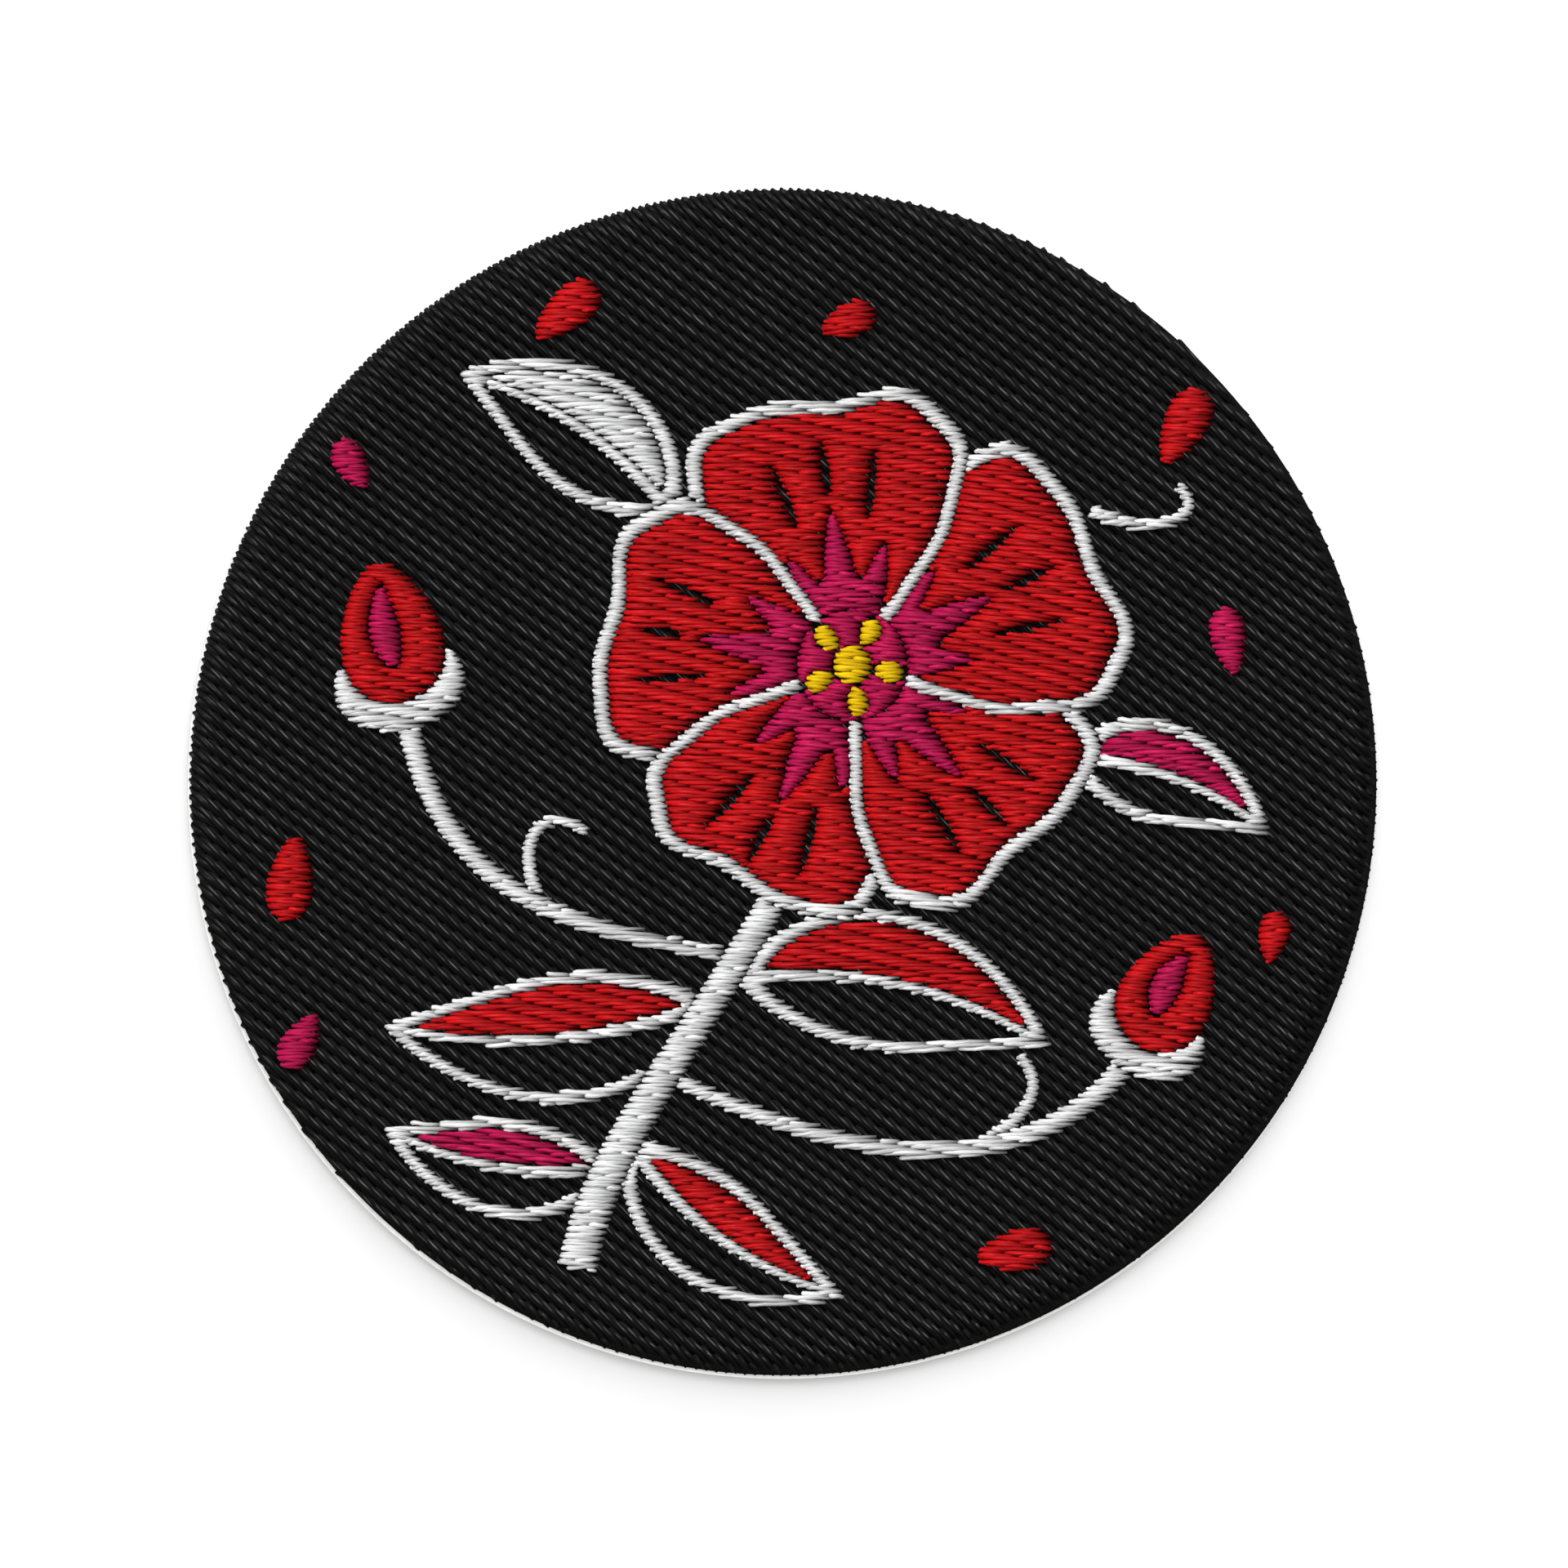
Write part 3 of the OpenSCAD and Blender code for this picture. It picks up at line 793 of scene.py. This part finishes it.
ground_top = ground_high.z / MM
ground_foot = ground_low.z / MM
ground_radius = patch_radius / MM
core_profile = [
    (0.0, (ground_top - CORE_COVER) * MM),
    *rolled((ground_radius - CORE_SKIN) * MM, (ground_top - CORE_COVER) * MM, (ROLL - CORE_COVER) * MM),
    ((ground_radius - CORE_SKIN) * MM, ground_foot * MM),
    (0.0, ground_foot * MM),
]
core = spun("ground_core", core_profile, patch_middle + CORE_SHIFT)
core_finish = Finish("ground_core", {"Roughness": 0.9, "Specular IOR Level": 0.0})
core_place = core_finish.node("ShaderNodeTexCoord", output="Object")
core_grain = core_finish.node("ShaderNodeTexNoise", inputs={"Vector": core_place, "Scale": 2500.0})
core_finish.wear("Base Color", blend_colours(core_finish, core_grain, CORE_SHADE, CORE_LIGHT))
core.data.materials.append(core_finish.material)
place(core, "black_thread", "ground")
print("core faces:", len(core.data.polygons))

# %% [markdown]
# Black rows
#
# The black rows run at 45 degrees, down to the right, 0.2 mm apart. A stitch is 4 mm long, and each
# next row starts a quarter of a stitch further on. The rows follow the flat top, roll over the rim and
# dive beside the raised pads, whose own stitches pull the cloth down. A displaced disc could show such
# rows from above, but not the teeth and the gaps at the rim, so they are sewn. First comes the rim's
# outline and the height of the rows.

# %% Height of the ground
RIM_STEPS = 720
DOT_STEP = 0.12
PRESS_DEPTH, PRESS_WIDTH = 0.17, 0.42

# Just under 1, so that a thread at the very rim still leans and its path has no upright step.
ROLL_LIMIT = 0.999

circle_turns = np.linspace(0.0, 2 * math.pi, RIM_STEPS + 1)
ring_points = np.stack([np.cos(circle_turns), np.sin(circle_turns)], axis=1)
middle_mm = np.array([patch_middle.x, patch_middle.y]) / MM
edge_radius = ground_radius - THREAD_HALF_HEIGHT
rim_points = middle_mm + edge_radius * ring_points
rim_outline = np.stack([rim_points[:-1], rim_points[1:]], axis=1)

all_edges = np.concatenate(list(outlines.values()))
motif_search = nearest(dotted(all_edges, step=DOT_STEP))


def rim_height(flat):
    """Height of the thread's middle line over the ground: level, then rolling over the rim."""
    out = np.linalg.norm(flat - middle_mm, axis=-1)
    roll = ROLL - THREAD_HALF_HEIGHT
    into_roll = np.clip((out - (edge_radius - roll)) / roll, 0.0, 1.0)
    return ground_top - THREAD_HALF_HEIGHT - roll * (1 - np.sqrt(1 - into_roll**2 * ROLL_LIMIT))


def ground_height(flat):
    """The same, pressed down beside the raised pads."""
    beside = distances(motif_search, flat)
    return rim_height(flat) - PRESS_DEPTH * np.exp(-((beside / PRESS_WIDTH) ** 2))


print("thread height at the middle and the rim:", rim_height(np.array([middle_mm, rim_points[0]])).round(2))

# %% [markdown]
# Stitches that a pad covers
#
# Stitches that lie wholly under a pad aren't sewn. They could be, but they would never show. On real
# patches, too, the ground is often left out under a large motif, so that the patch stays supple.

# %% Stitches that a pad covers
COVER_MARGIN = 0.25
GROUND_ANGLE = math.radians(-45.0)
GROUND_SEED = 7


def covered_rows(laid, angle):
    """True for each stitch that lies wholly inside one colour field, well away from its outline."""
    hidden = np.zeros(len(laid), dtype=bool)
    levels = laid[:, 1]
    for node in motif_nodes:
        for row, _, spans in crossings(outlines[node], angle, GROUND_PITCH):
            here = np.flatnonzero(np.abs(levels - row * GROUND_PITCH) < 0.5 * GROUND_PITCH)
            for first, last in spans:
                inside = (laid[here, 0] > first + COVER_MARGIN) & (laid[here, 2] < last - COVER_MARGIN)
                hidden[here[inside]] = True
    return hidden


ground_chance = np.random.default_rng(GROUND_SEED)
ground_laid = lay_rows(
    rim_outline, GROUND_ANGLE, GROUND_PITCH, GROUND_STITCH, GROUND_SHIFTS, ground_chance,
    reach=0.10, loose=0.07, shortest=0.45,
)
covered = covered_rows(ground_laid, GROUND_ANGLE)
ground_laid = ground_laid[~covered]
print("ground stitches:", len(ground_laid), "and left out under the pads:", covered.sum())

# %% [markdown]
# Three bands
#
# One mesh of all black stitches would be heavy for the programs that take it up later. An object for
# each row would be light, but hundreds of them are hard to handle. So the rows are parted into three
# bands, which can't be told apart.

# %% Black ground rows
GROUND_PIECES = 3
FOOT_CLEARANCE = 0.6 * THREAD_HALF_HEIGHT

ground_paths, ground_along = paths_of(
    ground_laid, GROUND_ANGLE, ground_height, ground_chance, lowest=ground_foot + FOOT_CLEARANCE
)
ground_corners = bent_pattern(ground_paths, THREAD_HALF_WIDTH, THREAD_HALF_HEIGHT, ground_chance)
ground_tones = ground_chance.random(len(ground_laid))
bands = np.array_split(np.argsort(ground_laid[:, 1], kind="stable"), GROUND_PIECES)
for number, band in enumerate(bands, start=1):
    piece = sewn(
        f"ground_rows_{number}", ground_corners[band], ground_along[band], ground_tones[band],
        thread_materials["black_thread"],
    )
    place(piece, "black_thread", "ground")
print("stitches in each band:", [len(band) for band in bands])

# %% [markdown]
# Flower spray
#
# Each colour field is sewn in nearly level rows, which lean a few degrees one way or the other from
# field to field. Each next row starts three quarters of a stitch further on, so the needle points
# descend to the right. Thread over thread makes a soft pad: high in the middle and rolled down to the
# ground at its outline. The crown of each pad could be modelled by hand. The distance to the outline
# gives it for all of them, so wide petals get a flat top and thin lines become round cords.

# %% Flower spray
MOTIF_PITCH = 0.21
MOTIF_STITCH = 3.9
MOTIF_SHIFTS = (0.0, 0.76, 0.5, 0.26)
CROWN_WIDTH = 0.38
CROWN_SINK = 0.05
OVERLAP = 0.07
LEAN_LEAST, LEAN_MOST = -6.0, 3.0
MOTIF_SEED = 11

pad_foot, pad_top = (corner.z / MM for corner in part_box(first_node))


def sew_field(node, angle, chance):
    """Replaces a pad by the stitches that make it."""
    outline = outlines[node]
    laid = lay_rows(
        outline, angle, MOTIF_PITCH, MOTIF_STITCH, MOTIF_SHIFTS, chance, reach=OVERLAP, loose=0.06
    )
    search = nearest(dotted(outline))
    full = pad_top - pad_foot - THREAD_HALF_HEIGHT

    def crown(flat):
        """Height of the thread's middle line over the pad, rounded towards its outline."""
        inward = np.clip(distances(search, flat) / CROWN_WIDTH, 0.0, 1.0)
        return pad_foot - CROWN_SINK + (full + CROWN_SINK) * np.sqrt(1 - (1 - inward) ** 2)

    paths, along = paths_of(laid, angle, crown, chance)
    corners = bent_pattern(paths, THREAD_HALF_WIDTH, THREAD_HALF_HEIGHT, chance)
    tones = chance.random(len(laid))
    piece = sewn(f"{node}_stitches", corners, along, tones, thread_materials[slots[node]])
    place(piece, slots[node], node)
    return len(laid)


motif_chance = np.random.default_rng(MOTIF_SEED)
sewn_counts = {}
for node in motif_nodes:
    lean = math.radians(motif_chance.uniform(LEAN_LEAST, LEAN_MOST))
    sewn_counts[slots[node]] = sewn_counts.get(slots[node], 0) + sew_field(node, lean, motif_chance)
print("stitches by colour:", sewn_counts)

# %% [markdown]
# Floor
#
# The patch lies on a plain white surface that the photograph burns out. A shadow catcher could stand
# for it, but a real sheet also throws light back under the rim. It is one large face, and pale grey,
# because the lights burn it out as they do there.

# %% Floor
FLOOR_HALF = 2.0

floor_shape = bmesh.new()
bmesh.ops.create_grid(floor_shape, x_segments=1, y_segments=1, size=FLOOR_HALF)
floor_mesh = bpy.data.meshes.new("floor")
floor_shape.to_mesh(floor_mesh)
floor_shape.free()
floor = bpy.data.objects.new("floor", floor_mesh)
bpy.context.scene.collection.objects.link(floor)
floor_look = {"Roughness": 0.9, "Specular IOR Level": 0.1, "Base Color": (0.70, 0.70, 0.70, 1)}
floor_mesh.materials.append(Finish("floor", floor_look).material)
print("floor in metres:", 2 * FLOOR_HALF)

# %% [markdown]
# Light
#
# The shadow of the patch is soft and hardly 2 mm long, and lies mostly below it, so the main light
# stands steeply above the top of the design. A weaker one from the left shapes each stitch, bright at
# its head and dark at its tail. A third, nearly overhead, gives the crests their glint and throws no
# shadow of its own that shows. Area lights could do this too, but sun lamps with a wide angle stay the
# same wherever the patch lies. A pale sky keeps the shadows open.


# %% Light
def soft_sun(name, strength, azimuth, elevation, spread):
    """A light like a large far softbox, which shines from an azimuth measured from +X towards +Y."""
    lamp = bpy.data.lights.new(name, "SUN")
    lamp.energy = strength
    lamp.angle = math.radians(spread)
    light = bpy.data.objects.new(name, lamp)
    turn, rise = math.radians(azimuth), math.radians(elevation)
    towards = Vector((math.cos(turn) * math.cos(rise), math.sin(turn) * math.cos(rise), math.sin(rise)))
    light.rotation_euler = towards.to_track_quat("Z", "Y").to_euler()
    bpy.context.scene.collection.objects.link(light)


soft_sun("key", 3.00, azimuth=80.0, elevation=55.0, spread=62.0)
soft_sun("side", 0.36, azimuth=174.0, elevation=34.0, spread=40.0)
soft_sun("top", 1.10, azimuth=270.0, elevation=87.0, spread=14.0)

SKY_STRENGTH = 0.26
world = bpy.data.worlds.new("studio")
world.use_nodes = True
sky = world.node_tree.nodes["Background"]
sky.inputs["Color"].default_value = (1.0, 1.0, 1.0, 1)
sky.inputs["Strength"].default_value = SKY_STRENGTH
bpy.context.scene.world = world
bpy.context.scene.view_settings.view_transform = "Standard"
print("lights:", sorted(lamp.name for lamp in bpy.data.lights))

# %% [markdown]
# Sizes
#
# The threads stand a trace proud of the solids, as real thread does. Looking at the picture can't tell
# how far.
